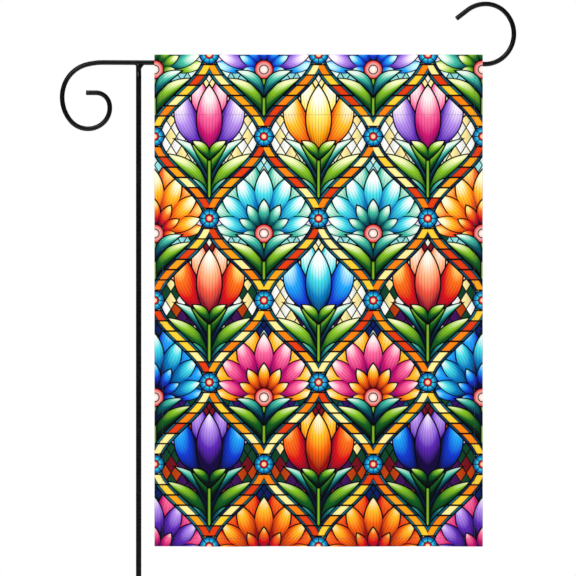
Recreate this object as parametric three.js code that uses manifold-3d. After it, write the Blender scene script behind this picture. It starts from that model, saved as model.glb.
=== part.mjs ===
// A garden flag on its stand: a cloth panel with a rod sleeve along its head, hung on the straight arm
// of a bent steel rod, which is welded to a pole that stands in the ground.
//
// Millimetres. X runs along the arm, from the scroll to the hook. -Y is the front of the flag, +Z is up.
// The origin is where the pole's axis meets the ground.
import * as THREE from 'three';
import { mergeVertices } from 'three/addons/utils/BufferGeometryUtils.js';
import Module from 'manifold-3d';

const wasm = await Module();
wasm.setup();

// Stand
const POLE_DIAMETER = 5;
const ARM_DIAMETER = 4.5;
const ARM_HEIGHT = 692.9; // centre of the arm over the pole, above the ground
const ARM_DROOP = 0.24; // degrees that the arm falls towards the hook
const STAKE_DEPTH = 170; // pole below the ground
const STAKE_POINT = 9; // length of the bevelled end
const STAKE_TIP_DIAMETER = 2.4;
const POLE_HEAD = 0.4; // top of the pole above the arm's axis, before the saddle is cut
const POLE_SIDES = 16;
const SADDLE_CLEARANCE = 0.4; // from the arm to the saddles cut in the pole's head and the weld
const SADDLE_LENGTH = 30;
const GAP = 0.3; // from the pole to the weld round it
const WELD_HEIGHT = 3.4; // how far the weld runs down the pole
const WELD_LIP = 0.5; // how far it climbs beside the arm
// The weld's hollow outline, from its toe up to the arm: how far up, as a share of its height, and how
// far out from the pole, in millimetres.
const WELD_OUTLINE = [
  { up: 0, out: 0.5 },
  { up: 0.45, out: 0.7 },
  { up: 0.75, out: 1.2 },
  { up: 1, out: 2.2 },
];

// Flag
const FLAG_WIDTH = 304.8;
const FLAG_HEIGHT = 457.2;
const FLAG_TOP = 700.4; // crest of the sleeve, above the ground
const FLAG_LEFT = 14.9; // from the pole's axis to the near side hem
const CLOTH = 1.1; // thickness of the panel
const SLEEVE_WALL = 1;
const SLEEVE_DEPTH = 58; // from the crest to the sleeve's seam
const SLEEVE_HALF_GAP = 2.7; // from the arm's axis to the inside of the sleeve
const SHOULDER = 7.4; // depth below the crest where the slopes from its crease end
const HIP = 13; // depth where they start to close towards the seam
const CREASE_BOW = 0.7; // how full those slopes are, as a share of the half width
const CREASE_RISE = 0.6; // and where they are fullest, as a share of their height
const WALL_BOW = 0.75; // how full the walls are on their way to the seam
const TUNNEL_FOOT = 6; // from the seam up to the foot of the sleeve's hollow
const TUNNEL_POINT = 0.2; // width of the hollow at its foot
const HEM_WIDTH = 9;
const HEM_STEP = 0.7; // what the turned-in edge adds behind the panel
const HEM_EDGE = 0.5; // width of the step down from the hem to the panel
const TUCK = 1.5; // how far the panel's head reaches up inside the sleeve's seam
const TUCK_THINNING = 0.3; // taken off each face of the panel there
const PANEL_COLUMNS = 26;
const PANEL_ROWS = 22;
const OVERCUT = 1; // how far a cutting solid runs past what it cuts

// The soft flutes in which the panel hangs, across its width. at and spread are shares of the width,
// depth is in millimetres at the foot, towards the front where it is negative, and lean is how far
// the flute wanders across, as a share of the width, from the seam to the foot.
const FLUTE_GROWTH = 1.3; // how late the flutes deepen on the way down
const FLUTES = [
  { at: 0.02, spread: 0.1, depth: 2.2, lean: 0.01 },
  { at: 0.2, spread: 0.09, depth: -3.2, lean: 0.03 },
  { at: 0.39, spread: 0.08, depth: 2.7, lean: -0.02 },
  { at: 0.58, spread: 0.1, depth: -2.4, lean: 0.04 },
  { at: 0.8, spread: 0.09, depth: 3.1, lean: 0.02 },
  { at: 0.99, spread: 0.08, depth: -2.6, lean: -0.02 },
];

// The arm's rod as it is bent, from the pole outwards: straight lengths, and bends by radius and angle.
// The bends of both ends turn the same way round, so the scroll winds in below and the hook above.
const SCROLL = [
  { straight: 33 },
  { radius: 60, angle: 15 },
  { radius: 30, angle: 55 },
  { radius: 34, angle: 60 },
  { radius: 21, angle: 90 },
  { radius: 19, angle: 64 },
  { radius: 12.5, angle: 76 },
  { straight: 9.5 },
];
const HOOK = [
  { straight: 322 },
  { radius: 26, angle: 45 },
  { radius: 29, angle: 90 },
  { radius: 25, angle: 45 },
  { radius: 28, angle: 38 },
  { straight: 13 },
];
const BEND_STEP = 10; // most degrees of bend in one facet of the rod
const ROD_SIDES = 12;

const steel = (color) => new THREE.MeshStandardMaterial({ color, roughness: 0.45, metalness: 0.6 });
const cloth = (color) => new THREE.MeshStandardMaterial({ color, roughness: 0.8, metalness: 0 });

// A manifold solid from a closed geometry, and a geometry from a manifold solid.
function solid(geometry) {
  const bare = new THREE.BufferGeometry();
  bare.setAttribute('position', geometry.getAttribute('position').clone());
  bare.setIndex(geometry.getIndex());
  const merged = mergeVertices(bare, 1e-4);
  return new wasm.Manifold(new wasm.Mesh({
    numProp: 3,
    vertProperties: new Float32Array(merged.getAttribute('position').array),
    triVerts: new Uint32Array(merged.getIndex().array),
  }));
}

function geometryOf(manifold) {
  const mesh = manifold.getMesh();
  const geometry = new THREE.BufferGeometry();
  geometry.setAttribute('position', new THREE.BufferAttribute(mesh.vertProperties, 3));
  geometry.setIndex(new THREE.BufferAttribute(mesh.triVerts, 1));
  geometry.computeVertexNormals();
  return geometry;
}

function named(name, geometry, material) {
  const mesh = new THREE.Mesh(geometry, material);
  mesh.name = name;
  return mesh;
}

// The points of a bent rod's centre line in the XZ plane, one for each facet. It starts at a point with
// a heading in degrees, 0 along +X and 90 up, and every bend turns left.
function bentLine(rows, start, heading) {
  const points = [start.clone()];
  let at = start.clone();
  let angle = THREE.MathUtils.degToRad(heading);
  for (const row of rows) {
    if (row.straight) {
      at = at.clone().add(new THREE.Vector2(Math.cos(angle), Math.sin(angle)).multiplyScalar(row.straight));
      points.push(at);
      continue;
    }
    const facets = Math.ceil(row.angle / BEND_STEP);
    const turn = THREE.MathUtils.degToRad(row.angle) / facets;
    const centre = new THREE.Vector2(-Math.sin(angle), Math.cos(angle)).multiplyScalar(row.radius).add(at);
    for (let i = 0; i < facets; i += 1) {
      angle += turn;
      at = new THREE.Vector2(Math.sin(angle), -Math.cos(angle)).multiplyScalar(row.radius).add(centre);
      points.push(at);
    }
  }
  return points;
}

// A curve through given points that a sweep visits one by one, so that facets fall on the points.
class FacetLine extends THREE.Curve {
  constructor(points) {
    super();
    this.points = points;
  }

  getPoint(t, target = new THREE.Vector3()) {
    const last = this.points.length - 1;
    const place = t * last;
    const i = Math.min(Math.floor(place), last - 1);
    return target.lerpVectors(this.points[i], this.points[i + 1], place - i);
  }

  // The mean direction of the two facets that meet at a point.
  getTangent(t, target = new THREE.Vector3()) {
    const last = this.points.length - 1;
    const i = Math.round(t * last);
    const before = this.points[Math.max(i - 1, 0)];
    const after = this.points[Math.min(i + 1, last)];
    const back = this.points[i].clone().sub(before).normalize();
    const ahead = after.clone().sub(this.points[i]).normalize();
    return target.addVectors(back, ahead).normalize();
  }

  getUtoTmapping(u) {
    return u;
  }
}

function circle(diameter, sides) {
  const shape = new THREE.Shape();
  for (let i = 0; i < sides; i += 1) {
    const angle = ((i + 0.5) * 2 * Math.PI) / sides;
    const x = (diameter / 2) * Math.cos(angle);
    const y = (diameter / 2) * Math.sin(angle);
    if (i) {
      shape.lineTo(x, y);
    } else {
      shape.moveTo(x, y);
    }
  }
  return shape;
}

// The arm's whole centre line, from the scroll's free end to the hook's.
function armLine() {
  const weld = new THREE.Vector2(0, ARM_HEIGHT);
  const scroll = bentLine(SCROLL, weld, 180 - ARM_DROOP);
  const hook = bentLine(HOOK, weld, -ARM_DROOP);
  const line = [...scroll.reverse(), ...hook.slice(1)];
  return line.map((point) => new THREE.Vector3(point.x, 0, point.y));
}

// A rod of even thickness along points.
function sweep(points, diameter, sides = ROD_SIDES) {
  return new THREE.ExtrudeGeometry(circle(diameter, sides), {
    steps: points.length - 1,
    extrudePath: new FacetLine(points),
  });
}

function scrollArm() {
  return sweep(armLine(), ARM_DIAMETER);
}

// A solid of revolution about the pole's axis, with a saddle cut in it that clears the arm.
function saddled(profile) {
  const turned = new THREE.LatheGeometry(profile, POLE_SIDES).rotateX(Math.PI / 2);
  const saddle = [-SADDLE_LENGTH / 2, SADDLE_LENGTH / 2].map((x) => new THREE.Vector3(
    x,
    0,
    ARM_HEIGHT - x * Math.tan(THREE.MathUtils.degToRad(ARM_DROOP)),
  ));
  const cutter = sweep(saddle, ARM_DIAMETER + 2 * SADDLE_CLEARANCE, POLE_SIDES);
  return geometryOf(solid(turned).subtract(solid(cutter)));
}

function pole() {
  const radius = POLE_DIAMETER / 2;
  return saddled([
    new THREE.Vector2(0, -STAKE_DEPTH),
    new THREE.Vector2(STAKE_TIP_DIAMETER / 2, -STAKE_DEPTH),
    new THREE.Vector2(radius, STAKE_POINT - STAKE_DEPTH),
    new THREE.Vector2(radius, ARM_HEIGHT + POLE_HEAD),
    new THREE.Vector2(0, ARM_HEIGHT + POLE_HEAD),
  ]);
}

// The ring of weld metal in the corner between the pole and the arm.
function weld() {
  const radius = POLE_DIAMETER / 2;
  const underArm = ARM_HEIGHT - ARM_DIAMETER / 2;
  const outline = WELD_OUTLINE.map((row) => new THREE.Vector2(
    radius + row.out,
    underArm - WELD_HEIGHT * (1 - row.up),
  ));
  const bore = radius + GAP;
  const widest = outline.at(-1).x;
  return saddled([
    new THREE.Vector2(bore, underArm - WELD_HEIGHT),
    ...outline,
    new THREE.Vector2(widest, underArm + WELD_LIP),
    new THREE.Vector2(bore, underArm + WELD_LIP),
    new THREE.Vector2(bore, underArm - WELD_HEIGHT),
  ]);
}

// How far the panel stands off its plane, across it (u) and down it (v), both 0 to 1.
function flute(u, v) {
  const fall = v ** FLUTE_GROWTH;
  return FLUTES.reduce((sum, row) => {
    const away = (u - row.at - row.lean * v) / row.spread;
    return sum + row.depth * fall * Math.exp(-away * away);
  }, 0);
}

// Stations along a hemmed side: even steps between the hems, and a pair at each hem's sewn edge.
function stations(length, steps, hemAtStart) {
  const near = hemAtStart ? [0, HEM_WIDTH, HEM_WIDTH + HEM_EDGE] : [-TUCK, 0];
  const far = [length - HEM_WIDTH - HEM_EDGE, length - HEM_WIDTH, length];
  const from = near.at(-1);
  const inner = [];
  for (let i = 1; i < steps; i += 1) {
    inner.push(from + ((far[0] - from) * i) / steps);
  }
  return [...near, ...inner, ...far];
}

// The panel below the sleeve, with its flutes, and its side and foot hems standing behind it. Its head
// is thinned and reaches up into the sleeve's seam.
function panel() {
  const drop = FLAG_HEIGHT - SLEEVE_DEPTH;
  const across = stations(FLAG_WIDTH, PANEL_COLUMNS, true);
  const down = stations(drop, PANEL_ROWS, false);
  const geometry = new THREE.BoxGeometry(1, 1, 1, across.length - 1, 1, down.length - 1);
  const position = geometry.getAttribute('position');
  for (let i = 0; i < position.count; i += 1) {
    const x = across[Math.round((position.getX(i) + 0.5) * (across.length - 1))];
    const fall = down[Math.round((0.5 - position.getZ(i)) * (down.length - 1))];
    const side = Math.sign(position.getY(i));
    const tucked = fall < 0;
    const hemmed = Math.min(x, FLAG_WIDTH - x, drop - fall) <= HEM_WIDTH && !tucked;
    const behind = side > 0 && hemmed ? HEM_STEP : 0;
    const off = side * (CLOTH / 2 - (tucked ? TUCK_THINNING : 0));
    const atEdge = x === 0 || x === FLAG_WIDTH;
    const drawnIn = tucked && atEdge ? TUCK * Math.sign(FLAG_WIDTH / 2 - x) : 0;
    position.setXYZ(
      i,
      FLAG_LEFT + x + drawnIn,
      off + behind + flute(x / FLAG_WIDTH, Math.max(fall, 0) / drop),
      FLAG_TOP - SLEEVE_DEPTH - fall,
    );
  }
  return geometry;
}

// A sleeve outline in the plane across the arm: a pressed crease whose slopes rest on the arm, two walls
// beside it, and a long taper to the seam. half is its half width beside the arm. crest and foot are the heights of its ends,
// and front and back the places of its two walls at the foot.
function teardrop(half, crest, foot, front, back) {
  const shoulder = FLAG_TOP - SHOULDER;
  const hip = FLAG_TOP - HIP;
  const fullest = shoulder + (crest - shoulder) * CREASE_RISE;
  const shape = new THREE.Shape();
  shape.moveTo(front, foot);
  shape.quadraticCurveTo(-half * WALL_BOW, (foot + hip) / 2, -half, hip);
  shape.lineTo(-half, shoulder);
  shape.quadraticCurveTo(-half * CREASE_BOW, fullest, 0, crest);
  shape.quadraticCurveTo(half * CREASE_BOW, fullest, half, shoulder);
  shape.lineTo(half, hip);
  shape.quadraticCurveTo(half * WALL_BOW, (foot + hip) / 2, back, foot);
  shape.closePath();
  return shape;
}

// An outline across the arm, drawn out along it between two places.
function alongArm(shape, from, to) {
  const geometry = new THREE.ExtrudeGeometry(shape, {
    depth: to - from,
    bevelEnabled: false,
    steps: 1,
    curveSegments: 6,
  });
  // The outline's x goes to Y, its y to Z and the drawn length to X.
  geometry.applyMatrix4(new THREE.Matrix4().makeBasis(
    new THREE.Vector3(0, 1, 0),
    new THREE.Vector3(0, 0, 1),
    new THREE.Vector3(1, 0, 0),
  ));
  return geometry.translate(from, 0, 0);
}

function flag() {
  const seam = FLAG_TOP - SLEEVE_DEPTH;
  const front = -CLOTH / 2;
  const back = CLOTH / 2 + HEM_STEP;
  const parting = (front + back) / 2;
  const outer = teardrop(SLEEVE_HALF_GAP + SLEEVE_WALL, FLAG_TOP, seam, front, back);
  const inner = teardrop(
    SLEEVE_HALF_GAP,
    FLAG_TOP - SLEEVE_WALL,
    seam + TUNNEL_FOOT,
    parting - TUNNEL_POINT / 2,
    parting + TUNNEL_POINT / 2,
  );
  const right = FLAG_LEFT + FLAG_WIDTH;
  const sleeve = solid(alongArm(outer, FLAG_LEFT, right));
  const tunnel = solid(alongArm(inner, FLAG_LEFT - OVERCUT, right + OVERCUT));
  return geometryOf(sleeve.subtract(tunnel).add(solid(panel())));
}

const group = new THREE.Group();
group.add(
  named('pole', pole(), steel(0x1b1f20)),
  named('weld', weld(), steel(0x1b1f20)),
  named('scroll_arm', scrollArm(), steel(0x1b1f20)),
  named('flag', flag(), cloth(0x3f8fb4)),
);

export default group;
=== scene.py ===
# %% [markdown]
# # A garden flag on its stand
#
# The object is three things that a maker could hand you one by one: a printed cloth with a sleeve sewn
# along its head, a steel rod bent into a scroll, an arm and a hook, and a straight steel pole. A weld
# joins the two rods. The solids of all four come from the frame. Here each of them gets its finished
# surface. Everything is in metres, Z is up, and the front of the flag looks along -Y.

# %% Load the frame
import math

import bmesh
import bpy
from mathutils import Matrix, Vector, noise


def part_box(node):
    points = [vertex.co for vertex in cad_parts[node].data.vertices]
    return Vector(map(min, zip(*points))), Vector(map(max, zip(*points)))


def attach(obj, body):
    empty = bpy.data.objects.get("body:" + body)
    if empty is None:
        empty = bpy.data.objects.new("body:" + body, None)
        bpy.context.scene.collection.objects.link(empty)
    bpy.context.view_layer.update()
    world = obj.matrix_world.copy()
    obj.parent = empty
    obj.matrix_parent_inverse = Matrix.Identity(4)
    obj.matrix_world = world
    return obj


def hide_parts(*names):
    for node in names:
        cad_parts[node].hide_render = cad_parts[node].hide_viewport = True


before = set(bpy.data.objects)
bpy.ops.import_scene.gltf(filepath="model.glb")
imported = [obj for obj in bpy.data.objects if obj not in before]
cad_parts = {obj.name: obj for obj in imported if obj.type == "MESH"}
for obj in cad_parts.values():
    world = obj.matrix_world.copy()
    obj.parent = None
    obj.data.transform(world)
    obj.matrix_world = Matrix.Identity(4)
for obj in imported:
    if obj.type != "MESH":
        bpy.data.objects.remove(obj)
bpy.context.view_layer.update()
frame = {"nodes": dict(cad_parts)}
MM = 0.001
print("nodes:", ", ".join(frame["nodes"]))

# %% [markdown]
# ## The camera
#
# The photograph looks straight at the flag with no visible perspective. A long lens from far away does
# that: an orthographic camera would too, but a long lens can also be carried round the object. The
# picture is as wide as 576 pixels of 0.93 mm.

# %% Camera
PIXEL = 0.93 * MM
PICTURE = 576 * PIXEL
AIM = Vector((0.1389, 0.0, 0.4833))
DISTANCE = 4.0
SENSOR = 36.0

camera_data = bpy.data.cameras.new("camera")
camera_data.sensor_width = SENSOR
camera_data.lens = SENSOR * DISTANCE / PICTURE
camera_data.clip_end = 50.0
camera = bpy.data.objects.new("camera", camera_data)
camera.location = AIM - Vector((0.0, DISTANCE, 0.0))
camera.rotation_euler = (math.pi / 2, 0.0, 0.0)
bpy.context.collection.objects.link(camera)
bpy.context.scene.camera = camera
print("lens:", round(camera_data.lens, 1), "mm")

# %% [markdown]
# ## Light and ground
#
# The picture has a pure white surround and almost no shadow, so most of the light comes evenly from a
# pale world. The camera sees that world as white, while the object gets a little less light from it,
# which leaves room for the soft lamps that round the rods and the folds. Reflections get least of all,
# as if black cards stood round the stand, or black paint would look grey. The ground is a plain pale
# disc at the height where the stake enters the soil.


# %% World, lamps and ground
def link(tree, source, target):
    tree.links.new(source, target)


def soft_world(seen, given, mirrored):
    """A white world of three strengths: as the camera sees it, as light, and in reflections."""
    world = bpy.data.worlds.new("studio")
    world.use_nodes = True
    tree = world.node_tree
    background = tree.nodes["Background"]
    background.inputs["Color"].default_value = (1.0, 1.0, 1.0, 1.0)
    path = tree.nodes.new("ShaderNodeLightPath")
    strength = given
    for ray, value in (("Is Glossy Ray", mirrored), ("Is Camera Ray", seen)):
        mix = tree.nodes.new("ShaderNodeMix")
        link(tree, path.outputs[ray], mix.inputs[0])
        mix.inputs[3].default_value = value
        if isinstance(strength, float):
            mix.inputs[2].default_value = strength
        else:
            link(tree, strength, mix.inputs[2])
        strength = mix.outputs[0]
    link(tree, strength, background.inputs["Strength"])
    bpy.context.scene.world = world


def lamp(name, place, size, power):
    data = bpy.data.lights.new(name, "AREA")
    data.shape = "DISK"
    data.size = size
    data.energy = power
    thing = bpy.data.objects.new(name, data)
    thing.location = place
    thing.rotation_euler = (AIM - Vector(place)).to_track_quat("-Z", "Y").to_euler()
    bpy.context.collection.objects.link(thing)


def pale_ground(radius):
    bm = bmesh.new()
    bmesh.ops.create_circle(bm, cap_ends=True, radius=radius, segments=96)
    mesh = bpy.data.meshes.new("ground")
    bm.to_mesh(mesh)
    bm.free()
    disc = bpy.data.objects.new("ground", mesh)
    finish = bpy.data.materials.new("pale ground")
    finish.use_nodes = True
    shader = finish.node_tree.nodes["Principled BSDF"]
    shader.inputs["Base Color"].default_value = (0.86, 0.86, 0.85, 1.0)
    shader.inputs["Roughness"].default_value = 0.9
    mesh.materials.append(finish)
    bpy.context.collection.objects.link(disc)


soft_world(seen=1.0, given=0.84, mirrored=0.06)
lamp("key", place=(-0.9, -1.9, 1.9), size=0.9, power=23.0)
lamp("back", place=(0.9, 1.7, 1.7), size=1.4, power=14.0)
lamp("top", place=(-0.2, -0.3, 2.4), size=0.5, power=7.0)
pale_ground(radius=1.6)
bpy.context.scene.view_settings.view_transform = "Standard"
bpy.context.scene.view_settings.look = "None"
print("lamps:", len(bpy.data.lights))

# %% [markdown]
# ## Reading a surface as numbers
#
# A shader can draw a pattern only from sums it works out at each point. Wired by hand, a rich print
# would be hundreds of Math nodes. So `Field` lets a number that varies over the surface be written as
# an ordinary sum: each `+` or `*` puts one node into the tree and hands back its output.


# %% Fields and paints
class Field:
    """A number at each point of a surface, as the output of a node in the tree at hand."""

    tree = None

    def __init__(self, socket):
        self.socket = socket

    def __add__(self, other):
        return sum_node("ADD", self, other)

    def __radd__(self, other):
        return sum_node("ADD", self, other)

    def __sub__(self, other):
        return sum_node("SUBTRACT", self, other)

    def __rsub__(self, other):
        return sum_node("SUBTRACT", other, self)

    def __mul__(self, other):
        return sum_node("MULTIPLY", self, other)

    def __truediv__(self, other):
        return sum_node("DIVIDE", self, other)


def plug(value, socket):
    """A field or a colour output goes in as a link, and a plain value as the socket's own."""
    if isinstance(value, Field):
        link(Field.tree, value.socket, socket)
    elif isinstance(value, bpy.types.NodeSocket):
        link(Field.tree, value, socket)
    elif isinstance(value, tuple):
        socket.default_value = (*value, 1.0)
    else:
        socket.default_value = value


def sum_node(operation, *values, clamp=False):
    node = Field.tree.nodes.new("ShaderNodeMath")
    node.operation = operation
    node.use_clamp = clamp
    for value, socket in zip(values, node.inputs):
        plug(value, socket)
    return Field(node.outputs[0])


def size_of(a):
    return sum_node("ABSOLUTE", a)


def root(a):
    return sum_node("SQRT", a)


def whole(a):
    return sum_node("FLOOR", a)


def part(a):
    return sum_node("FRACT", a)


def lower(a, b):
    return sum_node("MINIMUM", a, b)


def higher(a, b):
    return sum_node("MAXIMUM", a, b)


def clamped(a):
    return sum_node("ADD", a, 0.0, clamp=True)


def blend(under, over, share):
    """One colour laid over another: share is 0 for the first and 1 for the second."""
    node = Field.tree.nodes.new("ShaderNodeMix")
    node.data_type = "RGBA"
    node.clamp_factor = True
    plug(share, node.inputs[0])
    plug(under, node.inputs[6])
    plug(over, node.inputs[7])
    return node.outputs[2]


def ink(red, green, blue):
    """A printing ink, given as a screen shows it from 0 to 255, as the colour that a shader takes."""
    linear = []
    for shade in (red / 255, green / 255, blue / 255):
        linear.append(((shade + 0.055) / 1.055) ** 2.4 if shade > 0.04045 else shade / 12.92)
    return tuple(linear)


print("sample ink:", [round(c, 3) for c in ink(20, 110, 210)])

# %% [markdown]
# ## The print
#
# The cloth is dye-printed in the manner of a leaded glass window: panes of clear colour, each shaded
# from deep to pale and scored with fine lines, between black leads a little over a millimetre wide.
# The picture is a traditional repeat, an ogee net whose cells hold tulips and fans of petals by turns
# on a ground of diamond panes. Everything is measured in millimetres on the flat cloth: x across from
# its middle, y up from its foot.
#
# A petal is where two equal circles cross. That shape has a simple exact distance to its edge, and the
# distance is all that is needed to draw its lead, its shading and its score lines.

# %% Inks, leads and petals
LEAD = 1.4  # width of a lead line
BLEED = 0.25  # width over which one dye runs into the next
TO_TIP = 1.3  # how far a petal's shade climbs on the way to its tip
AT_RIM = 0.36  # how far it falls again towards its rims
AT_DUSK = 0.3  # how far it falls where the glass is deep
SCORE = 0.2  # half the width of a fine score line
SCORE_DARK = 0.75  # how dark the score lines are at a petal's base
SCORE_FADE = 0.5  # how much of that is gone at its tip
THINNEST = 0.05  # half width at a petal's ends, so that nothing is divided by 0
BLACK = ink(3, 4, 8)
SHADES = {
    # deep, full, pale and tip
    "blue": (ink(6, 4, 62), ink(14, 56, 205), ink(30, 165, 245), ink(200, 248, 255)),
    "cyan": (ink(4, 20, 92), ink(0, 122, 190), ink(70, 218, 228), ink(246, 255, 250)),
    "purple": (ink(20, 4, 62), ink(92, 38, 180), ink(178, 138, 232), ink(252, 240, 255)),
    "magenta": (ink(52, 4, 84), ink(205, 16, 112), ink(250, 104, 158), ink(255, 236, 238)),
    "red": (ink(64, 0, 42), ink(218, 14, 20), ink(250, 112, 22), ink(255, 238, 130)),
    "orange": (ink(146, 8, 12), ink(242, 94, 6), ink(255, 190, 40), ink(255, 252, 210)),
    "gold": (ink(190, 56, 0), ink(250, 170, 14), ink(255, 232, 110), ink(255, 255, 244)),
    "green": (ink(0, 24, 20), ink(16, 98, 30), ink(136, 196, 34), ink(250, 252, 190)),
    "sea": (ink(0, 20, 52), ink(0, 92, 102), ink(70, 192, 165), ink(232, 252, 236)),
    "peach": (ink(132, 12, 44), ink(238, 84, 62), ink(255, 180, 132), ink(255, 250, 234)),
}


def within(distance):
    """1 inside an edge and 0 outside it, with the little bleed of the dye between."""
    return sum_node("MULTIPLY_ADD", distance, 1.0 / BLEED, 0.5, clamp=True)


def pick(index, colours):
    """One of several colours by a whole number, 0 for the first."""
    ramp = Field.tree.nodes.new("ShaderNodeValToRGB")
    ramp.color_ramp.interpolation = "CONSTANT"
    stops = ramp.color_ramp.elements
    while len(stops) < len(colours):
        stops.new(0.5)
    for i, (stop, colour) in enumerate(zip(stops, colours)):
        stop.position = i / len(colours)
        stop.color = (*colour, 1.0)
    plug((index + 0.5) / len(colours), ramp.inputs[0])
    return ramp.outputs[0]


def pick_shades(index, names):
    return tuple(pick(index, [SHADES[name][tone] for name in names]) for tone in range(4))


def graded(along, shades):
    """Deep at 0, through full and pale, to the tip's shade at 1."""
    paint = shades[0]
    for i, tone in enumerate(shades[1:]):
        paint = blend(paint, tone, along * 3.0 - float(i))
    return paint


def petal(below, spot, base, tip, half, bend, shades, scores=3, lit=0.0):
    """Paints a petal over what is below it. A spot is x, y and dusk, which is 0 where the glass is pale
    and 1 where it is deep. half is the petal's half width, bend pushes its middle aside, and lit makes
    one of its sides lighter than the other."""
    x, y, dusk = spot
    length = math.dist(base, tip)
    across, up = (tip[0] - base[0]) / length, (tip[1] - base[1]) / length
    dx, dy = x - base[0], y - base[1]
    along = dx * across + dy * up
    share = along / length
    aside = dx * up - dy * across - share * (1.0 - share) * (4.0 * bend)
    share = clamped(share)
    inset = ((length / 2) ** 2 - half**2) / (2 * half)
    radius = inset + half
    from_middle = along - length / 2
    squared = from_middle * from_middle
    out = size_of(aside) + inset
    edge = radius - root(out * out + squared)
    breadth = higher(root(higher(radius * radius - squared, 0.0)) - inset, THINNEST)
    side = aside / breadth
    glow = share * TO_TIP - dusk * AT_DUSK + side * lit - side * side * AT_RIM
    body = graded(glow, shades)
    turn = part(side * float(scores))
    score = lower(turn, 1.0 - turn) * breadth / float(scores)
    body = blend(body, BLACK, (1.0 - within(score - SCORE)) * (SCORE_DARK - share * SCORE_FADE))
    leaded = blend(below, BLACK, within(edge + LEAD / 2))
    return blend(leaded, body, within(edge - LEAD / 2))


print(len(SHADES), "dyes of four shades")

# %% [markdown]
# The ground behind each flower is glazed with small diamond panes, as plain leaded windows are. Two
# sets of slanting lines make the diamonds, and a hash of each diamond's place picks its tint. The
# panes turn from pale to deep towards the foot and the sides of the flag, so that the window seems lit
# from above. A pane is all one or the other, so the test reads the height of its own middle.

# %% Diamond ground
QUARRY = 10.2  # spacing of the slanting lines
QUARRY_SLOPE = 0.62
QUARRY_LEAD = LEAD * 0.36  # half the width of the leads between the diamonds
QUARRY_SHADE = 0.2  # half of what a diamond darkens from its inner corner to its outer one
CELL_WIDTH = 101.6
CELL_HEIGHT = 152.4
DUSK_START = 0.1  # dusk at the flag's middle, where no pane is deep yet
DUSK_SPREAD = 0.6  # how much more it takes until all are
DUSK_ASIDE = 300.0  # how far aside the glass goes from pale to deep
DUSK_DOWN = 260.0  # how far down it does
WARM_PALE = (ink(255, 250, 225), ink(255, 236, 160), ink(232, 250, 220), ink(255, 255, 250))
WARM_DEEP = (ink(120, 14, 30), ink(196, 66, 8), ink(14, 70, 44), ink(66, 16, 92))
COOL_PALE = (ink(222, 250, 242), ink(150, 226, 228), ink(252, 255, 232), ink(232, 226, 252))
COOL_DEEP = (ink(8, 30, 100), ink(8, 84, 120), ink(14, 70, 50), ink(50, 14, 108))


def scatter(a, b):
    """A number from 0 to 1 that is the same all over one pane and jumps from pane to pane."""
    node = Field.tree.nodes.new("ShaderNodeTexWhiteNoise")
    node.noise_dimensions = "2D"
    place = Field.tree.nodes.new("ShaderNodeCombineXYZ")
    plug(a, place.inputs[0])
    plug(b, place.inputs[1])
    plug(place.outputs[0], node.inputs["Vector"])
    return Field(node.outputs["Value"])


def dusk_at(aside, height):
    return clamped(aside / DUSK_ASIDE - height / DUSK_DOWN + DUSK_START)


def diamonds(x, y, column, row, pale, deep):
    """The panes behind a flower. The fraction of a multiple of one chance serves as a new chance."""
    u = (size_of(x) + y * QUARRY_SLOPE) / QUARRY
    v = (size_of(x) - y * QUARRY_SLOPE) / QUARRY
    in_u, in_v = part(u), part(v)
    spacing = QUARRY / math.hypot(1.0, QUARRY_SLOPE)
    line = lower(lower(in_u, 1.0 - in_u), lower(in_v, 1.0 - in_v)) * spacing
    chance = scatter(whole(u), whole(v))
    light = pick(whole(chance * float(len(pale))), pale)
    dark = pick(whole(part(chance * 7.0) * float(len(deep))), deep)
    level = (whole(u) - whole(v)) * (QUARRY / 2 / QUARRY_SLOPE) + row * CELL_HEIGHT
    dusk = dusk_at(size_of(column) * CELL_WIDTH, level)
    turned = sum_node("GREATER_THAN", dusk - DUSK_START, part(chance * 13.0) * DUSK_SPREAD)
    tint = blend(light, dark, turned)
    tint = blend(tint, BLACK, (in_u + in_v) * QUARRY_SHADE - 0.02)
    return blend(tint, BLACK, 1.0 - within(line - QUARRY_LEAD))


print("cell:", CELL_WIDTH, "by", CELL_HEIGHT, "mm")

# %% [markdown]
# Each flower is drawn for its right half only and mirrored by reading |x|. Petals are painted from the
# back to the front, so that each one covers what it stands before, just as a glass painter would lay
# them out. Its dyes come from a short table by the cell's row and by how far it is from the middle.

# %% The two flowers
GREEN = SHADES["green"]
SEA = SHADES["sea"]
TULIP_DYES = (
    # outer and inner petals: the middle cell and then the side cells, row by row from the foot
    ("red", "orange"),
    ("blue", "purple"),
    ("blue", "cyan"),
    ("red", "peach"),
    ("orange", "gold"),
    ("purple", "magenta"),
)
FAN_DYES = (
    # front and back petals: the inner cells and then the outer cells, row by row from the foot
    ("orange", "red"),
    ("purple", "magenta"),
    ("magenta", "orange"),
    ("cyan", "blue"),
    ("cyan", "sea"),
    ("orange", "red"),
    ("purple", "blue"),
    ("sea", "green"),
)
TULIP_LEAVES = (
    # base, tip, half width, bend, shades, lit
    ((0, -60), (40, -16), 6.5, -7, GREEN, -0.25),
    ((0, -64), (27, -38), 5.0, -5, SEA, -0.2),
    ((0, -50), (33, -2), 5.6, -10, SEA, -0.25),
    ((0, -38), (19, -2), 4.6, -4, GREEN, -0.2),
)
FAN_LEAVES = (
    # base, tip, half width, bend, shades, lit
    ((0, -60), (34, -22), 6.0, -8, GREEN, -0.25),
    ((0, -66), (22, -46), 4.4, -4, SEA, -0.2),
)
STEM = 1.25  # half the width of a stem
STEM_LEAD = 2.3  # the same with its leads
STEM_FOOT = -66.0
FAN_DROP = 14.0  # how far a fan's eye lies below the middle of its cell
FAN_ROUND = 0.16  # how much shorter its petal is one radian aside
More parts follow.
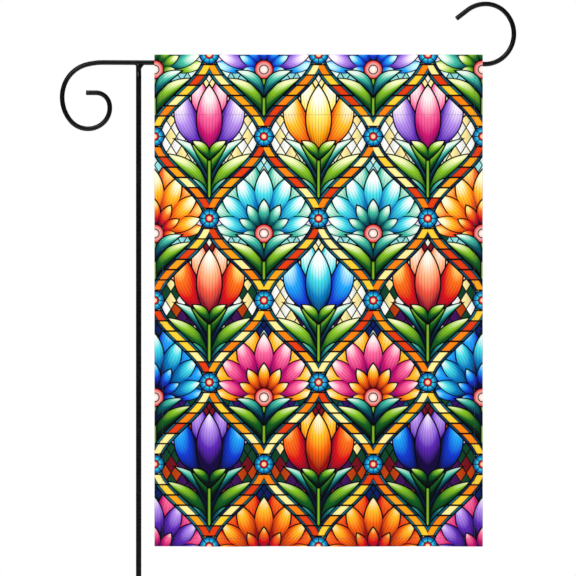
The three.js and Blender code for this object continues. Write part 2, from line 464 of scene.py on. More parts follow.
EYE = 8.1  # radius of a fan's eye
ROUND_LEAD = 1.1  # width of the lead round an eye or a jewel


def leaves(below, spot, rows):
    for base, tip, half, bend, shades, lit in rows:
        below = petal(below, spot, base, tip, half, bend, shades, lit=lit)
    return below


def stem(below, spot, top):
    x, y, _ = spot
    run = within(top - y) * within(y - STEM_FOOT)
    leaded = blend(below, BLACK, within(STEM_LEAD - x) * run)
    sap = blend(GREEN[2], GREEN[0], x / 1.5)
    return blend(leaded, sap, within(STEM - x) * run)


def tulip(spot, column, row):
    x, y, dusk = spot
    kind = (row + 1.0) * 2.0 + size_of(column)
    outer = pick_shades(kind, [pair[0] for pair in TULIP_DYES])
    inner = pick_shades(kind, [pair[1] for pair in TULIP_DYES])
    half = (size_of(x), y, dusk)
    paint = diamonds(x, y, column, row, WARM_PALE, WARM_DEEP)
    paint = leaves(paint, half, TULIP_LEAVES)
    paint = stem(paint, half, -4.0)
    paint = petal(paint, half, (2, -12), (38, 22), 7.5, -9, inner, lit=-0.2)
    paint = petal(paint, half, (0, -6), (13, 60), 9.0, 0, inner, lit=0.2)
    paint = petal(paint, half, (0, -14), (27, 46), 11.0, 7, outer, scores=4, lit=0.25)
    paint = petal(paint, spot, (0, -16), (0, 48), 12.0, 0, inner, scores=4)
    return petal(paint, half, (0, -22), (16, -4), 4.5, -3, GREEN, scores=2, lit=-0.2)


def ring(below, spot, shades, step, most, start, length, half, shift, lit):
    """A fan of equal petals round an eye, step degrees apart. The angle is folded to the nearest
    petal's own, and shift is 0.5 where the middle falls between two petals."""
    x, y, dusk = spot
    reach = root(x * x + y * y)
    angle = sum_node("ARCTAN2", x, y)
    turn = math.radians(step)
    which = lower(whole(angle / turn + (0.5 - shift)) + shift, most - shift)
    near = angle - which * turn
    shrink = 1.0 - which * which * (FAN_ROUND * turn * turn)
    aside = reach * sum_node("SINE", near) / shrink
    up = reach * sum_node("COSINE", near) / shrink
    return petal(below, (aside, up, dusk), (0, start), (0, start + length), half, 0, shades, lit=lit)


def fan(spot, column, row):
    x, y, dusk = spot
    kind = (row + 1.5) * 2.0 + size_of(column) - 0.5
    main = pick_shades(kind, [pair[0] for pair in FAN_DYES])
    second = pick_shades(kind, [pair[1] for pair in FAN_DYES])
    half = (size_of(x), y, dusk)
    rise = y + FAN_DROP
    eyed = (half[0], rise, dusk)
    paint = diamonds(x, y, column, row, COOL_PALE, COOL_DEEP)
    paint = leaves(paint, half, FAN_LEAVES)
    paint = ring(paint, eyed, second, step=24, most=4, start=16, length=56, half=9.5, shift=0.5, lit=0.2)
    paint = ring(paint, eyed, main, step=24, most=3, start=12, length=48, half=9.0, shift=0.0, lit=0.15)
    paint = ring(paint, eyed, second, step=30, most=3, start=6, length=26, half=5.5, shift=0.0, lit=0.1)
    from_eye = root(half[0] * half[0] + rise * rise)
    paint = blend(paint, BLACK, within(EYE + ROUND_LEAD - from_eye))
    eye = blend(SHADES["gold"][3], SHADES["red"][1], from_eye / 8.0)
    paint = blend(paint, eye, within(EYE - from_eye))
    paint = blend(paint, BLACK, within(4.6 - from_eye) * within(from_eye - 3.6))
    paint = stem(paint, half, -23.0)
    return petal(paint, half, (0, -40), (26, -15), 5.0, -6, SEA, scores=2, lit=-0.2)


print("flowers:", len(TULIP_DYES), "tulips and", len(FAN_DYES), "fans by their dyes")

# %% [markdown]
# The net itself is a cosine: a cell is widest at its middle and closes to a point above and below,
# where the next ones begin. A band runs along it, small amber panes between two narrow blue rims, and a
# round jewel sits where four cells meet.

# %% The net of cells, and the whole print
BAND = 5.4  # half the width of the band along the net
CORE = 2.7  # half the width of the amber panes in it
PANE = 9.525  # length of one pane
PANE_LEAD = LEAD * 0.42  # half the width of the leads between them
AMBERS = (ink(250, 160, 20), ink(225, 60, 10), ink(252, 205, 50), ink(250, 130, 10), ink(255, 236, 150))
JEWEL = 8.3  # radius of a jewel
SPOKE = 0.42  # half the width of its eight spokes
JEWEL_EYE = (
    # radius and colour, from the lead round its eye to the middle
    (4.3, BLACK),
    (3.5, ink(190, 16, 50)),
    (2.0, ink(255, 200, 150)),
)
CLOTH_WIDTH = 304.8
CLOTH_HEIGHT = 457.2


def jewel(below, x, y):
    reach = root(x * x + y * y)
    spoke = size_of(sum_node("SINE", sum_node("ARCTAN2", y, x) * 4.0)) * reach / 4.0
    glass = graded(1.15 - reach / JEWEL, SHADES["cyan"])
    glass = blend(glass, BLACK, within(SPOKE - spoke))
    for radius, colour in JEWEL_EYE:
        glass = blend(glass, colour, within(radius - reach))
    leaded = blend(below, BLACK, within(JEWEL + ROUND_LEAD - reach))
    return blend(leaded, glass, within(JEWEL - reach))


def band_panes(away, run, slant, column, row, side):
    """The glass of the band. away is from its middle line, and run is the count of panes along it. The
    odd factors give each cell tints of its own."""
    pane = whole(run)
    cut = part(run)
    cut = lower(cut, 1.0 - cut) * PANE / slant
    tint = whole(scatter(pane + column * 31.0, row * 7.0 + side * 3.0) * float(len(AMBERS)))
    glass = blend(pick(tint, AMBERS), BLACK, away / BAND * 0.3)
    rim = blend(ink(6, 30, 70), ink(16, 110, 130), scatter(pane + column * 17.0, row * 5.0 + side))
    rim = blend(rim, BLACK, 1.0 - within(away - CORE - LEAD / 2))
    glass = blend(glass, rim, within(away - CORE))
    return blend(glass, BLACK, 1.0 - within(cut - PANE_LEAD))


def window_print(x, y):
    """The colour of the print at x across from the middle and y up from the foot."""
    height = y - CLOTH_HEIGHT / 2
    column = whole(x / CELL_WIDTH + 0.5)
    row = whole(height / CELL_HEIGHT + 0.5)
    xa, ya = x - column * CELL_WIDTH, height - row * CELL_HEIGHT
    wave = 2 * math.pi / CELL_HEIGHT
    lean = sum_node("SINE", ya * wave) * (CELL_WIDTH / 4 * wave)
    slant = root(lean * lean + 1.0)
    edge = ((sum_node("COSINE", ya * wave) + 1.0) * (CELL_WIDTH / 4) - size_of(xa)) / slant
    sx, sy = sum_node("SIGN", xa), sum_node("SIGN", ya)
    xb, yb = xa - sx * (CELL_WIDTH / 2), ya - sy * (CELL_HEIGHT / 2)
    dusk = dusk_at(size_of(x), height)
    flowers = blend(
        fan((xb, yb, dusk), column + sx * 0.5, row + sy * 0.5),
        tulip((xa, ya, dusk), column, row),
        sum_node("GREATER_THAN", edge, 0.0),
    )
    away = size_of(edge)
    paint = blend(flowers, BLACK, within(BAND + LEAD / 2 - away))
    glass = band_panes(away, ya / PANE, slant, column, row, sx)
    paint = blend(paint, glass, within(BAND - LEAD / 2 - away))
    paint = jewel(paint, xa, CELL_HEIGHT / 2 - size_of(ya))
    return jewel(paint, CELL_WIDTH / 2 - size_of(xa), ya)


def cut_place():
    """How far across and how far up the flat cut a point lies, in millimetres."""
    cut = Field.tree.nodes.new("ShaderNodeUVMap")
    cut.uv_map = "cut"
    split = Field.tree.nodes.new("ShaderNodeSeparateXYZ")
    plug(cut.outputs[0], split.inputs[0])
    return Field(split.outputs[0]) / MM, Field(split.outputs[1]) / MM


def print_group():
    """The print as one node group, shared by the cloth's two faces."""
    group = bpy.data.node_groups.new("window print", "ShaderNodeTree")
    group.interface.new_socket("Colour", in_out="OUTPUT", socket_type="NodeSocketColor")
    Field.tree = group
    across, up = cut_place()
    colour = window_print(across - CLOTH_WIDTH / 2, up)
    out = group.nodes.new("NodeGroupOutput")
    plug(colour, out.inputs[0])
    return group


window = print_group()
print("print:", len(window.nodes), "nodes")

# %% [markdown]
# ## The cloth's finish
#
# The cloth is a plain weave of polyester. Its threads are half a millimetre apart, so they show only
# close up, as a fine grid of bumps that also catches the dye a little unevenly. The dye goes through
# to the other side, where the print shows mirrored and a shade paler. Noise and fine bumps are wanted
# for the steel and the sewing thread too, so their helpers come first.


# %% Helpers for finishes
def new_finish(name):
    """A material, and its shader. Fields are written into its tree from here on."""
    finish = bpy.data.materials.new(name)
    finish.use_nodes = True
    Field.tree = finish.node_tree
    return finish, finish.node_tree.nodes["Principled BSDF"]


def grain(scale, detail, own_place=False):
    """Noise as a field, laid out by the object's own place in metres where asked for."""
    node = Field.tree.nodes.new("ShaderNodeTexNoise")
    node.inputs["Scale"].default_value = scale
    node.inputs["Detail"].default_value = detail
    if own_place:
        place = Field.tree.nodes.new("ShaderNodeTexCoord")
        plug(place.outputs["Object"], node.inputs["Vector"])
    return Field(node.outputs[0])


def raise_bumps(shader, height, strength, distance):
    bump = Field.tree.nodes.new("ShaderNodeBump")
    bump.inputs["Strength"].default_value = strength
    bump.inputs["Distance"].default_value = distance
    plug(height, bump.inputs["Height"])
    plug(bump.outputs[0], shader.inputs["Normal"])


# %% Printed cloth
THREAD = 0.55  # spacing of the threads, in millimetres
WHITE = (1.0, 1.0, 1.0)


def weave():
    """How high the cloth's face stands at each point, as threads crossing over and under."""
    across, up = cut_place()
    turn = math.pi / THREAD
    return sum_node("SINE", across * turn) * sum_node("SINE", up * turn)


def cloth_finish(name, paleness):
    finish, shader = new_finish(name)
    picture = Field.tree.nodes.new("ShaderNodeGroup")
    picture.node_tree = window
    threads = weave()
    slub = grain(260.0, 3.0)
    colour = blend(picture.outputs[0], WHITE, paleness)
    colour = blend(colour, BLACK, slub * 0.08 + threads * 0.02 - 0.02)
    plug(colour, shader.inputs["Base Color"])
    plug(slub * 0.16 + 0.72, shader.inputs["Roughness"])
    shader.inputs["Specular IOR Level"].default_value = 0.07
    shader.inputs["Sheen Weight"].default_value = 0.01
    shader.inputs["Sheen Roughness"].default_value = 0.4
    raise_bumps(shader, threads + slub * 0.6, strength=0.35, distance=0.12 * MM)
    return finish


front_finish = cloth_finish("printed cloth", 0.0)
back_finish = cloth_finish("printed cloth, reverse", 0.14)
print("cloth finish:", len(front_finish.node_tree.nodes), "nodes")

# %% [markdown]
# ## The bent rod
#
# A smith bends this rod cold round pegs: a straight length, a bend of one radius, the next bend. So
# the rod is written as that list and walked along. A curve object with a round bevel could make the
# tube too, but rings laid one by one let the cut ends be rounded over as thick powder coat rounds them.

# %% Rod table
POLE_RADIUS = 2.5 * MM
ARM_RADIUS = 2.25 * MM
ARM_HEIGHT = 692.9 * MM
DROOP = 0.24  # degrees by which the arm falls towards the hook
SCROLL = (
    # length of a straight, or radius and angle of a bend
    ("straight", 33.0),
    ("bend", 60.0, 15.0),
    ("bend", 30.0, 55.0),
    ("bend", 34.0, 60.0),
    ("bend", 21.0, 90.0),
    ("bend", 19.0, 64.0),
    ("bend", 12.5, 76.0),
    ("straight", 9.5),
)
HOOK = (
    ("straight", 322.0),
    ("bend", 26.0, 45.0),
    ("bend", 29.0, 90.0),
    ("bend", 25.0, 45.0),
    ("bend", 28.0, 38.0),
    ("straight", 13.0),
)
STRAIGHT_STEP = 6 * MM  # from one ring of the tube to the next
BEND_STEP = 3.0  # the same in a bend, in degrees


def walk(rows, heading):
    """Points along a bent rod from the weld outwards. Every bend turns left, seen from the front."""
    at = Vector((0.0, ARM_HEIGHT))
    angle = math.radians(heading)
    points = [at.copy()]
    for row in rows:
        size = row[1] * MM
        if row[0] == "straight":
            steps = max(2, round(size / STRAIGHT_STEP))
            ahead = Vector((math.cos(angle), math.sin(angle))) * size
            points += [at + ahead * (i / steps) for i in range(1, steps + 1)]
            at = points[-1]
            continue
        steps = math.ceil(row[2] / BEND_STEP)
        centre = at + Vector((-math.sin(angle), math.cos(angle))) * size
        for _ in range(steps):
            angle += math.radians(row[2]) / steps
            points.append(centre + Vector((math.sin(angle), -math.cos(angle))) * size)
        at = points[-1]
    return points


arm_line = walk(SCROLL, 180.0 - DROOP)[::-1] + walk(HOOK, -DROOP)[1:]
print("rod:", len(arm_line), "rings along it")

# %% [markdown]
# The weld and the stitches are made of rings too, so what they share with the tubes is written once.
# Faces between rings are shaded smooth and caps flat, which keeps a cut end crisp.


# %% Rods as meshes
def piece(name, mesh, finish):
    """An object that rides on the one body and takes a finish."""
    thing = bpy.data.objects.new(name, mesh)
    bpy.context.collection.objects.link(thing)
    mesh.materials.append(finish)
    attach(thing, "root")
    return thing


def skin(bm, rings):
    """Faces from each ring of points to the next."""
    for near, far in zip(rings, rings[1:]):
        for k in range(len(near)):
            after = (k + 1) % len(near)
            bm.faces.new((near[k], near[after], far[after], far[k]))


def cap_ends(bm, rings):
    bm.faces.new(rings[0][::-1])
    bm.faces.new(rings[-1])


def as_mesh(bm, name):
    bmesh.ops.recalc_face_normals(bm, faces=bm.faces)
    mesh = bpy.data.meshes.new(name)
    bm.to_mesh(mesh)
    bm.free()
    for face in mesh.polygons:
        face.use_smooth = len(face.vertices) == 4
    return mesh


def tube(name, line, radii, sides=28):
    """A closed tube round points in the XZ plane, with its own radius at each."""
    bm = bmesh.new()
    rings = []
    for i, (point, radius) in enumerate(zip(line, radii)):
        along = (line[min(i + 1, len(line) - 1)] - line[max(i - 1, 0)]).normalized()
        side = Vector((-along.y, along.x))
        verts = []
        for k in range(sides):
            a = 2 * math.pi * k / sides
            flat = point + side * (radius * math.cos(a))
            verts.append(bm.verts.new((flat.x, radius * math.sin(a), flat.y)))
        rings.append(verts)
    skin(bm, rings)
    cap_ends(bm, rings)
    return as_mesh(bm, name)


def rounded_ends(line, radius, rounding=0.6 * MM):
    """The same line with its two cut ends eased over, and the radius at each point."""
    first = (line[1] - line[0]).normalized()
    last = (line[-2] - line[-1]).normalized()
    turns = [math.radians(a) for a in (10, 35, 60, 80)]
    lead = [line[0] + first * (rounding * (1 - math.sin(a))) for a in turns[::-1]]
    tail = [line[-1] + last * (rounding * (1 - math.sin(a))) for a in turns]
    near = [radius - rounding * (1 - math.cos(a)) for a in turns]
    full = [p for p in line[1:-1] if min((p - line[0]).length, (p - line[-1]).length) > rounding]
    return lead + full + tail, near[::-1] + [radius] * len(full) + near


arm_points, arm_radii = rounded_ends(arm_line, ARM_RADIUS)
print("rod with rounded ends:", len(arm_points), "rings")

# %% [markdown]
# ## Powder-coated steel
#
# The rods are black with a satin coat that was dusted on and baked. Such a coat is never quite smooth:
# it has a fine pebble like orange peel, and dust and rubbing leave it a little greyer here and there.


# %% Black steel
def steel_finish():
    finish, shader = new_finish("black powder coat")
    pebble = grain(1400.0, 2.0, own_place=True)
    rub = grain(45.0, 5.0, own_place=True)
    worn = clamped((rub - 0.5) * 3.0)
    plug(blend(ink(9, 11, 12), ink(30, 34, 35), worn * 0.5), shader.inputs["Base Color"])
    plug(rub * 0.16 + 0.2, shader.inputs["Roughness"])
    shader.inputs["Specular IOR Level"].default_value = 0.22
    raise_bumps(shader, pebble, strength=0.5, distance=0.06 * MM)
    return finish


black_steel = steel_finish()
arm = piece("arm_rod", tube("arm_rod", arm_points, arm_radii), black_steel)
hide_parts("scroll_arm")
print("arm rod:", len(arm.data.polygons), "faces")

# %% [markdown]
# ## The pole and its weld
#
# The pole ends in a bevelled tip for the soil. Its head is filed to a saddle that fits the underside of
# the arm, and the corner between them is filled with weld all round. The welder had more room on the
# side of the flag, so the ring is fuller there. Its face is hollow along the arm, bulges a little in
# front and behind, and shows the ripples of the pool as it moved round. A ring of sections, one for
# each angle about the pole, gives all three.

# %% Pole
pole_low, pole_high = (Vector(corner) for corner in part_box("pole"))
TIP = 9 * MM
TIP_RADIUS = 1.2 * MM
TIP_WEAR = 0.15 * MM  # by which the tip's rim is worn off
SEAT = 1.0 * MM  # how far the pole's head reaches up beside the arm
SUNK = 0.3 * MM  # how far its filed face lies inside the arm


def pole_line(steps=60):
    foot = pole_low.z
    heights = [foot, foot + TIP_WEAR, foot + TIP / 2, foot + TIP]
    radii = [TIP_RADIUS - TIP_WEAR, TIP_RADIUS, (TIP_RADIUS + POLE_RADIUS) / 2, POLE_RADIUS]
    head = ARM_HEIGHT - ARM_RADIUS + SEAT
    for i in range(1, steps + 1):
        heights.append(foot + TIP + (head - foot - TIP) * i / steps)
        radii.append(POLE_RADIUS)
    return [Vector((0.0, z)) for z in heights], radii


def file_saddle(mesh):
    """Lowers the pole's head to just inside the arm's underside."""
    head = max(v.co.z for v in mesh.vertices)
    for v in mesh.vertices:
        if head - v.co.z < 0.01 * MM:
            under = math.sqrt(max(ARM_RADIUS**2 - v.co.y**2, 0.0))
            v.co.z = min(head, ARM_HEIGHT - under + SUNK)


pole_points, pole_radii = pole_line()
pole = piece("pole_rod", tube("pole_rod", pole_points, pole_radii), black_steel)
file_saddle(pole.data)
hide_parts("pole")
print("pole:", round((pole_high.z - pole_low.z) / MM), "mm long")

# %% Weld
WELD_TOE = 2.5 * MM  # how far the weld runs down the pole
WELD_REACH = 1.9 * MM  # how far it spreads along the arm
WELD_ROOT = 0.5 * MM  # how deep it is sunk into both rods
WELD_FULLER = 0.42  # share by which it is fuller on the flag's side, and leaner on the other
WELD_CLIMB = 70.0  # degrees that it climbs up the arm's side in front and behind
WELD_HOLLOW = 0.6 * MM  # how hollow its face is along the arm
WELD_BULGE = 0.45 * MM  # how far it bulges in front and behind
RIPPLES = 18
RIPPLE = 0.1 * MM


def weld_section(angle, points=9):
    """The weld's outline at one angle about the pole, from inside the pole to inside the arm."""
    out = Vector((math.cos(angle), math.sin(angle), 0.0))
    full = 1.05 + WELD_FULLER * out.x + 0.1 * noise.noise(out * 2.0)
    climb = math.radians(WELD_CLIMB * abs(out.y) ** 1.5 - 90.0)
    toe = out * POLE_RADIUS + Vector((0, 0, ARM_HEIGHT - ARM_RADIUS - WELD_TOE * full))
    lip = Vector((
        (POLE_RADIUS + WELD_REACH * full) * out.x,
        math.copysign(ARM_RADIUS * math.cos(climb), out.y),
        ARM_HEIGHT + ARM_RADIUS * math.sin(climb),
    ))
    corner = (Vector((0, 0, 1)) - out).normalized()
    hollow = WELD_HOLLOW * out.x**2 - WELD_BULGE * out.y**2
    ripple = RIPPLE * abs(math.sin(RIPPLES * angle / 2))
    line = [toe - out * WELD_ROOT]
    for i in range(points):
        t = i / (points - 1)
        swell = math.sin(math.pi * t)
        line.append(toe.lerp(lip, t) + corner * ((hollow - ripple) * swell))
    axis = Vector((lip.x, 0.0, ARM_HEIGHT))
    return line + [lip + (axis - lip).normalized() * WELD_ROOT]


def weld_ring(steps=216):
    bm = bmesh.new()
    rings = [[bm.verts.new(p) for p in weld_section(2 * math.pi * i / steps)] for i in range(steps)]
    skin(bm, rings + rings[:1])
    return as_mesh(bm, "weld_ring")


weld = piece("weld_ring", weld_ring(), black_steel)
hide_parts("weld")
print("weld:", len(weld.data.polygons), "faces")

# %% [markdown]
# ## How the cloth hangs
#
# The sheet is described the way it is sewn. A point of the flat cut has a place across and a place
# along, and folding is a rule that says where such a point ends up: side edges and the foot turn back
# behind the panel as hems, and the head goes up in front of the arm, over it and down behind as the
# sleeve. The sleeve was pressed flat before it was hung, so it keeps a crease along its crest, and the
# slopes below the crease are what rests on the arm. The panel below the sleeve hangs in a few soft
# flutes, which deepen towards the foot. The same numbers shape the solid in the frame, so the sheet
# lies within it.

# %% Cloth sizes
flag_low, flag_high = (Vector(corner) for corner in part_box("flag"))
LEFT, RIGHT = flag_low.x, flag_high.x
FOOT, CREST = flag_low.z, flag_high.z
WIDE = RIGHT - LEFT
CLOTH = 0.45 * MM
LAYER = 0.52 * MM  # from one layer of a fold to the next
HEM = 9 * MM
SEWN = HEM - 1.5 * MM  # the stitched line, from the edge
SLEEVE = 58 * MM  # from the crest to the seam
TURNED = 8 * MM  # the sleeve's raw edge, turned under
DROP = CREST - FOOT - SLEEVE
FRONT = -0.3 * MM  # the panel's middle, from the plane of the arm
WALL = 3.2 * MM  # the sleeve's walls, from the same plane
WALL_BOW = 0.75  # how full the walls are on their way to the seam
HIP = 13 * MM  # depth below the crest where they start to close towards the seam
SHOULDER = 7.4 * MM  # depth where the slopes from the crease end
CREASE_BOW = 0.7  # how full those slopes are, as a share of the walls' distance
CREASE_RISE = 0.6  # and where they are fullest, as a share of their height
FOLD_HALF = 1.6 * MM  # half the width of the rounded fold at the crease
FOLD_HIGH = 1.52 * MM  # its height
FLUTES = (
    # across, spread, depth, lean
    (0.02, 0.10, 2.2, 0.01),
    (0.20, 0.09, -3.2, 0.03),
    (0.39, 0.08, 2.7, -0.02),
    (0.58, 0.10, -2.4, 0.04),
    (0.80, 0.09, 3.1, 0.02),
    (0.99, 0.08, -2.6, -0.02),
)
FLUTE_GROWTH = 1.3  # above 1, a flute deepens faster near the foot


def flute(across, down):
    total = 0.0
    for at, spread, depth, lean in FLUTES:
        away = (across - at - lean * down) / spread
        total += depth * MM * down**FLUTE_GROWTH * math.exp(-away * away)
    return total


def quadratic(start, pull, end, steps):
    return [
        start * (1 - t) ** 2 + pull * (2 * t * (1 - t)) + end * t**2
        for t in (i / steps for i in range(1, steps + 1))
    ]


def sleeve_section():
    """The sleeve's middle line in the YZ plane, from the seam in front, over the crest, to the back."""
    seam, hip, shoulder = CREST - SLEEVE, CREST - HIP, CREST - SHOULDER
    crest = CREST - CLOTH / 2
    fullest = shoulder + (crest - shoulder) * CREASE_RISE
    bow = (seam + hip) / 2
    halfway = (hip + shoulder) / 2
    low = crest - FOLD_HIGH
    line = [Vector((FRONT, seam))]
    line += quadratic(line[-1], Vector((-WALL * WALL_BOW, bow)), Vector((-WALL, hip)), 16)
    line += [Vector((-WALL, halfway)), Vector((-WALL, shoulder))]
    line += quadratic(line[-1], Vector((-WALL * CREASE_BOW, fullest)), Vector((-FOLD_HALF, low)), 8)
    line += quadratic(line[-1], Vector((0.0, crest + FOLD_HIGH)), Vector((FOLD_HALF, low)), 12)
    line += quadratic(line[-1], Vector((WALL * CREASE_BOW, fullest)), Vector((WALL, shoulder)), 8)
    line += [Vector((WALL, halfway)), Vector((WALL, hip))]
    back = Vector((FRONT + 2 * LAYER, seam))
    line += quadratic(line[-1], Vector((WALL * WALL_BOW, bow)), back, 16)
    return line


section = sleeve_section()
section_at = [0.0]
for a, b in zip(section, section[1:]):
    section_at.append(section_at[-1] + (b - a).length)
LONG = DROP + section_at[-1]
print("cloth length along the fold:", round(LONG / MM, 1), "mm")

# %% [markdown]
# Sewing draws cloth in a little, so beside each line of stitches the sheet is faintly puckered. It is
# a tenth of a millimetre, just enough to break the light along a hem.

# %% Folding rule
PUCKER = 0.22 * MM
PUCKER_REACH = 5 * MM  # how far it reaches from the stitched line
PUCKER_WAVES = (1.45 * MM, 2.3 * MM)
BESIDE = 5 * MM  # how far from a side hem the layers have settled


def ease(value, low, high):
    share = min(max((value - low) / (high - low), 0.0), 1.0)
    return share * share * (3 - 2 * share)


def over_hem(x):
    """1 over a side hem, and 0 where the cloth has settled beside it."""
    return 1.0 - ease(min(x, WIDE - x), HEM, HEM + BESIDE)


def pucker(x, along):
    """The small unevenness beside the stitched lines."""
    edge = min(x, WIDE - x) - SEWN
    short, long = PUCKER_WAVES
    total = 0.0
    for gap, run in ((edge, along), (along - SEWN, x), (along - DROP, x)):
        near = math.exp(-((gap / PUCKER_REACH) ** 2))
        ripple = math.sin(run / short) + math.sin(run / long + 1.0)
        total += near * ripple * noise.noise(Vector((run * 40.0, gap * 20.0, 3.0)))
    return PUCKER * total


def middle(x, along):
    """The cloth's middle surface at x across and along up from the foot, and the way to its inside."""
    if along <= DROP:
        down = (DROP - along) / DROP
        y = FRONT + flute(x / WIDE, down) + pucker(x, along)
        return Vector((LEFT + x, y, FOOT + along)), Vector((0.0, 1.0, 0.0))
    run = min(along - DROP, section_at[-1])
    i = next((k for k in range(1, len(section_at)) if section_at[k] >= run), len(section_at) - 1)
    share = (run - section_at[i - 1]) / (section_at[i] - section_at[i - 1])
    flat = section[i - 1].lerp(section[i], share)
    before, after = section[max(i - 2, 0)], section[min(i + 1, len(section) - 1)]
    ahead = (after - before).normalized()
    inner = Vector((0.0, ahead.y, -ahead.x))
    place = Vector((LEFT + x, flat.x, flat.y))
    return place + inner * pucker(x, along), inner


def fold(x, along, layers):
    """Where a point of the cloth lies, with layers counted inwards from the outer face. The sleeve's
    sewn end steps out over the panel's side hems."""
    place, inner = middle(x, along)
    at_end = ease(along, LONG - 22 * MM, LONG - 6 * MM)
    return place + inner * (LAYER * (layers - 2.0 * over_hem(x) * at_end))


def evenly(start, end, steps):
    return [start + (end - start) * i / steps for i in range(steps + 1)]


def hem_stops(near_hem, far_hem, length, flat, steps=5):
    """Rows of the cut from one raw edge to the other: how far it is along the cut, where it lies on the
    folded cloth, and how many layers in. flat lists the rows between the two folds."""
    bend = LAYER / 2
    turns = []
    for a in (math.radians(degrees) for degrees in range(75, -90, -30)):
        turns.append((bend * a / (math.pi / 2), bend * (1 - math.cos(a)), (1 + math.sin(a)) / 2))
    near = evenly(near_hem, bend, steps)[:-1]
    far = evenly(length - bend, length - far_hem, steps)[1:]
    rows = [(-at - bend, at, 1.0) for at in near]
    rows += [(-past, at, layers) for past, at, layers in turns]
    rows += [(at, at, 0.0) for at in flat if bend <= at <= length - bend]
    rows += [(length + past, length - at, layers) for past, at, layers in turns[::-1]]
    return rows + [(2 * length - at, at, 1.0) for at in far]


across_rows = hem_stops(HEM, HEM, WIDE, evenly(LAYER / 2, WIDE - LAYER / 2, 96))
sleeve_at = [DROP + at for at in section_at[1:]]
along_rows = hem_stops(HEM, TURNED, LONG, evenly(LAYER / 2, DROP, 116) + sleeve_at)
print("cut:", len(across_rows), "by", len(along_rows), "points")

# %% [markdown]
# The four corners of the cut are trimmed away before hemming, so that they don't lump. What is left is
# folded into place, and a Solidify modifier gives the sheet its thickness, with the reverse of the
# cloth as a second finish.

# %% The sheet
PAST_FOLD = 1.2  # two rows with more layers between them lie past a fold's middle


def sheet_mesh():
    bm = bmesh.new()
    cut = bm.loops.layers.uv.new("cut")
    grid = []
    for _, along, in_along in along_rows:
        row = []
        for _, x, in_x in across_rows:
            stack = in_along * (1.0 + (over_hem(x) if along < DROP else 0.0))
            row.append(bm.verts.new(fold(x, along, in_x + stack)))
        grid.append(row)
    for j in range(len(along_rows) - 1):
        for i in range(len(across_rows) - 1):
            turned = along_rows[j][2] + along_rows[j + 1][2] > PAST_FOLD
            hemmed = across_rows[i][2] + across_rows[i + 1][2] > PAST_FOLD
            if turned and hemmed:
                continue
            corners = ((j, i), (j, i + 1), (j + 1, i + 1), (j + 1, i))
            face = bm.faces.new([grid[r][c] for r, c in corners])
            face.smooth = True
            for loop, (r, c) in zip(face.loops, corners):
                loop[cut].uv = (across_rows[c][0], along_rows[r][0])
    loose = [v for v in bm.verts if not v.link_faces]
    bmesh.ops.delete(bm, geom=loose, context="VERTS")
    mesh = bpy.data.meshes.new("flag_cloth")
    bm.to_mesh(mesh)
    bm.free()
    return mesh


def applied(thing):
    """Bakes a piece's modifiers into its mesh."""
    graph = bpy.context.evaluated_depsgraph_get()
    finished = bpy.data.meshes.new_from_object(thing.evaluated_get(graph))
    thing.modifiers.clear()
    thing.data = finished


cloth = piece("flag_cloth", sheet_mesh(), front_finish)
cloth.data.materials.append(back_finish)
thicken = cloth.modifiers.new("thickness", "SOLIDIFY")
thicken.thickness = CLOTH
thicken.offset = 0.0
thicken.material_offset = 1
applied(cloth)
cloth.data.name = "flag_cloth"
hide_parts("flag")
print("cloth:", len(cloth.data.polygons), "faces")

# %% [markdown]
# A second map, named OFBake, is made for baking the print into a picture. The cut is a rectangle, so its
# two faces can be laid on the square of that picture with nothing wasted: the printed face on nearly two
# thirds of it and the reverse on the rest.

# %% Map for a baked copy
FACES_ON_MAP = ((0.0, 0.64), (0.65, 1.0))  # the printed face and the reverse


def share_of(rows, place):
    first, last = rows[0][0], rows[-1][0]
    return (place - first) / (last - first)


def lay_on_map(mesh):
    cut = mesh.uv_layers["cut"]
    picture = mesh.uv_layers.new(name="OFBake")
    for face in mesh.polygons:
        low, high = FACES_ON_MAP[face.material_index]
        for i in face.loop_indices:
            x, along = cut.data[i].uv
            across = low + (high - low) * share_of(across_rows, x)
            picture.data[i].uv = (share_of(along_rows, along), across)


lay_on_map(cloth.data)
print("maps:", ", ".join(layer.name for layer in cloth.data.uv_layers))

# %% [markdown]
# ## Stitching
#
# The hems and the sleeve are held by lines of lockstitch. On each side of the cloth a lockstitch shows
# as a row of short threads, each diving in at both ends. They are small, but a real sewn edge is told
# from a cut one by them, so each is a bent little tube.

# %% Stitches
STITCH = 2.9 * MM  # from one stitch to the next
STITCH_SHARE = 0.76  # how much of that the thread covers
STITCH_RISE = 1.5  # how far its middle arches up, in thread radii
STITCH_SINK = 1.1  # how deep its ends dive, in thread radii
THREAD_RADIUS = 0.15 * MM


def thread_finish():
    finish, shader = new_finish("polyester thread")
    fibre = grain(3000.0, 2.0, own_place=True)
    plug(blend(ink(30, 36, 44), ink(74, 84, 96), fibre), shader.inputs["Base Color"])
    shader.inputs["Roughness"].default_value = 0.6
    shader.inputs["Sheen Weight"].default_value = 0.2
    raise_bumps(shader, fibre, strength=0.4, distance=0.03 * MM)
    return finish


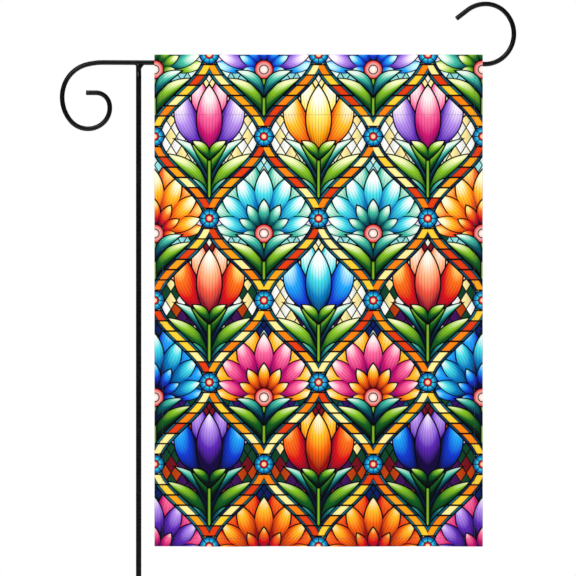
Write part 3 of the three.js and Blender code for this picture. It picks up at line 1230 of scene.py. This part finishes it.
def stitch_line(bm, start, end, layers, out, sides=6, rings=7):
    """Stitches from one place of the folded cloth to another. layers is how deep the face they lie on
    is, and out is 1 for its inner side and -1 for its outer side."""
    run = math.dist(start, end)
    count = max(1, round(run / STITCH))
    ahead = ((end[0] - start[0]) / run, (end[1] - start[1]) / run)
    nudge = 0.1 * MM  # to a place just ahead, for the thread's direction
    for n in range(count):
        loops = []
        for k in range(rings):
            t = k / (rings - 1)
            at = (n + 0.5 + STITCH_SHARE * (t - 0.5)) * run / count
            x, along = start[0] + ahead[0] * at, start[1] + ahead[1] * at
            place = fold(x, along, layers)
            nearby = fold(x + ahead[0] * nudge, along + ahead[1] * nudge, layers)
            inner = middle(x, along)[1] * out
            way = (nearby - place).normalized()
            aside = way.cross(inner)
            arch = math.sin(math.pi * t) ** 0.5
            height = CLOTH / 2 + THREAD_RADIUS * (STITCH_RISE * arch - STITCH_SINK)
            centre = place + inner * height
            loops.append([
                bm.verts.new(centre + (aside * math.cos(b) + inner * math.sin(b)) * THREAD_RADIUS)
                for b in (2 * math.pi * s / sides for s in range(sides))
            ])
        skin(bm, loops)
        cap_ends(bm, loops)


def stitching(name, lines):
    bm = bmesh.new()
    for line in lines:
        stitch_line(bm, *line)
    return piece(name, as_mesh(bm, name), thread)


thread = thread_finish()
sides_sewn = []
for x in (SEWN, WIDE - SEWN):
    sides_sewn.append(((x, SEWN), (x, LONG - TURNED), 0.0, -1))
    sides_sewn.append(((x, HEM + 2 * MM), (x, DROP - 1 * MM), 1.0, 1))
foot_sewn = [
    ((HEM, SEWN), (WIDE - HEM, SEWN), 0.0, -1),
    ((HEM + 5 * MM, SEWN), (WIDE - HEM - 5 * MM, SEWN), 1.0, 1),
]
sleeve_sewn = [
    ((1 * MM, DROP + 2 * MM), (WIDE - 1 * MM, DROP + 2 * MM), 0.0, -1),
    ((1 * MM, LONG - 2 * MM), (WIDE - 1 * MM, LONG - 2 * MM), 0.0, -1),
]
seams = [
    stitching("side_stitching", sides_sewn),
    stitching("foot_stitching", foot_sewn),
    stitching("sleeve_stitching", sleeve_sewn),
]
print("stitching:", sum(len(s.data.polygons) for s in seams), "faces")
